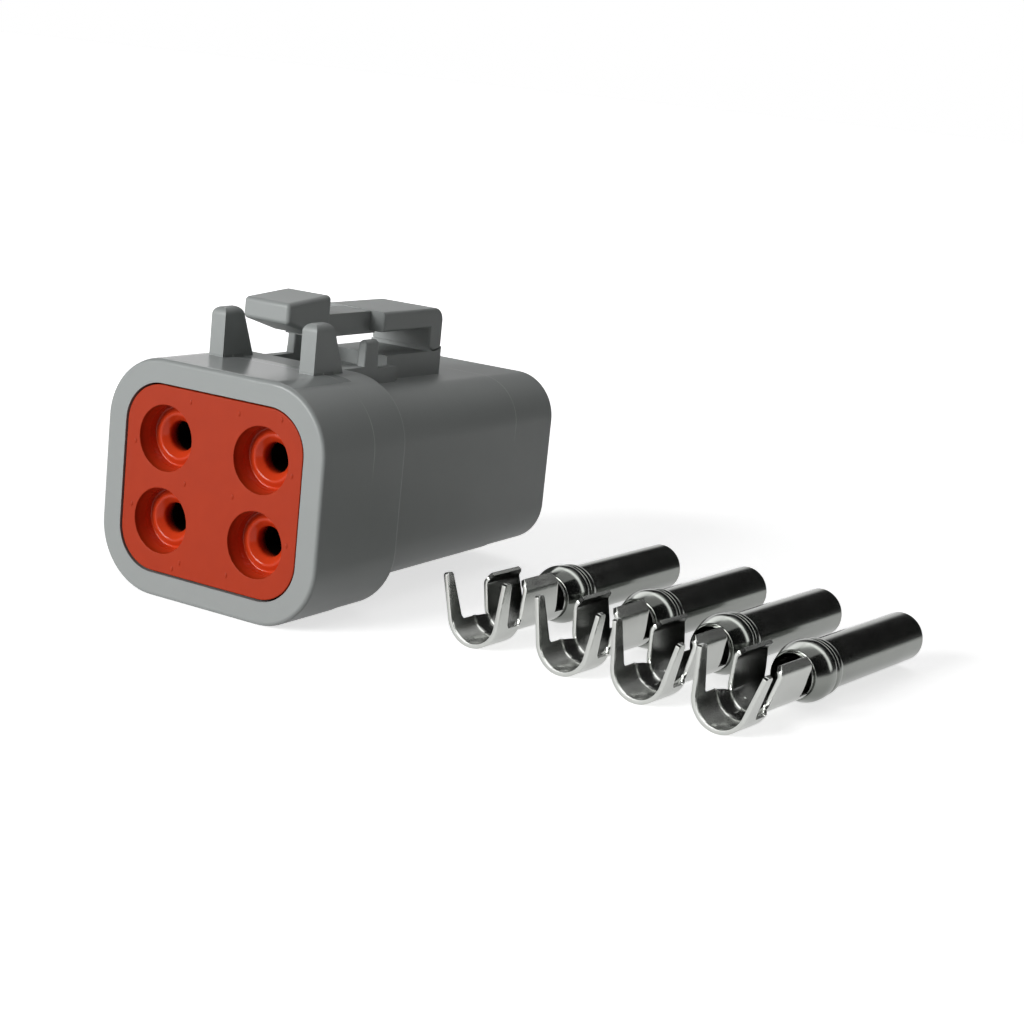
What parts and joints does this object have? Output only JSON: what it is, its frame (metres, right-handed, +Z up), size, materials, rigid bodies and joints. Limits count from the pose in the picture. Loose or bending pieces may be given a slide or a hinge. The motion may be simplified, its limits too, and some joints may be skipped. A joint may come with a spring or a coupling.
{
  "type": "sealed wire-to-wire connector plug",
  "caption": "Sealed rectangular plug with a rubber wire seal, a snap latch between guard posts, a wedge lock, and loose stamped crimp sockets beside it.",
  "frame": {"origin": "centre of the flat wire-side face of the housing's rear section", "axes": "+Y is the mating direction, +Z is up with the latch on top, and +X points to the side where the loose contacts lie"},
  "size_m": [0.074, 0.0471, 0.0314],
  "materials": {
    "housing": "moulded, glossy, mid grey",
    "wedge": "moulded, glossy, mid grey",
    "wire_seal": "smooth orange-red silicone",
    "interface_seal": "smooth orange-red silicone",
    "contact": "bright nickel plate on stamped sheet",
    "sleeve": "bright drawn tube"
  },
  "bodies": {
    "plug": {"housing_shell": "housing", "rear_wire_seal": "wire_seal", "interface_seal": "interface_seal", "socket_contact_1": "contact", "socket_contact_2": "contact", "socket_contact_3": "contact", "socket_contact_4": "contact", "contact_sleeve_1": "sleeve", "contact_sleeve_2": "sleeve", "contact_sleeve_3": "sleeve", "contact_sleeve_4": "sleeve"},
    "latch": {"latch_arm": "housing"},
    "wedge": {"wedge_lock": "wedge"}
  },
  "joints": [
    {"name": "latch_press", "type": "hinge", "parent": "plug", "child": "latch", "pos_m": [0, 0.03235, 0.0145], "axis": [1, 0, 0], "range_deg": [0, 7], "stiffness_Nm_per_rad": 1.5, "springref_deg": -0.57},
    {"name": "wedge_slide", "type": "slide", "parent": "plug", "child": "wedge", "axis": [0, 1, 0], "range_m": [0, 0.016]}
  ]
}
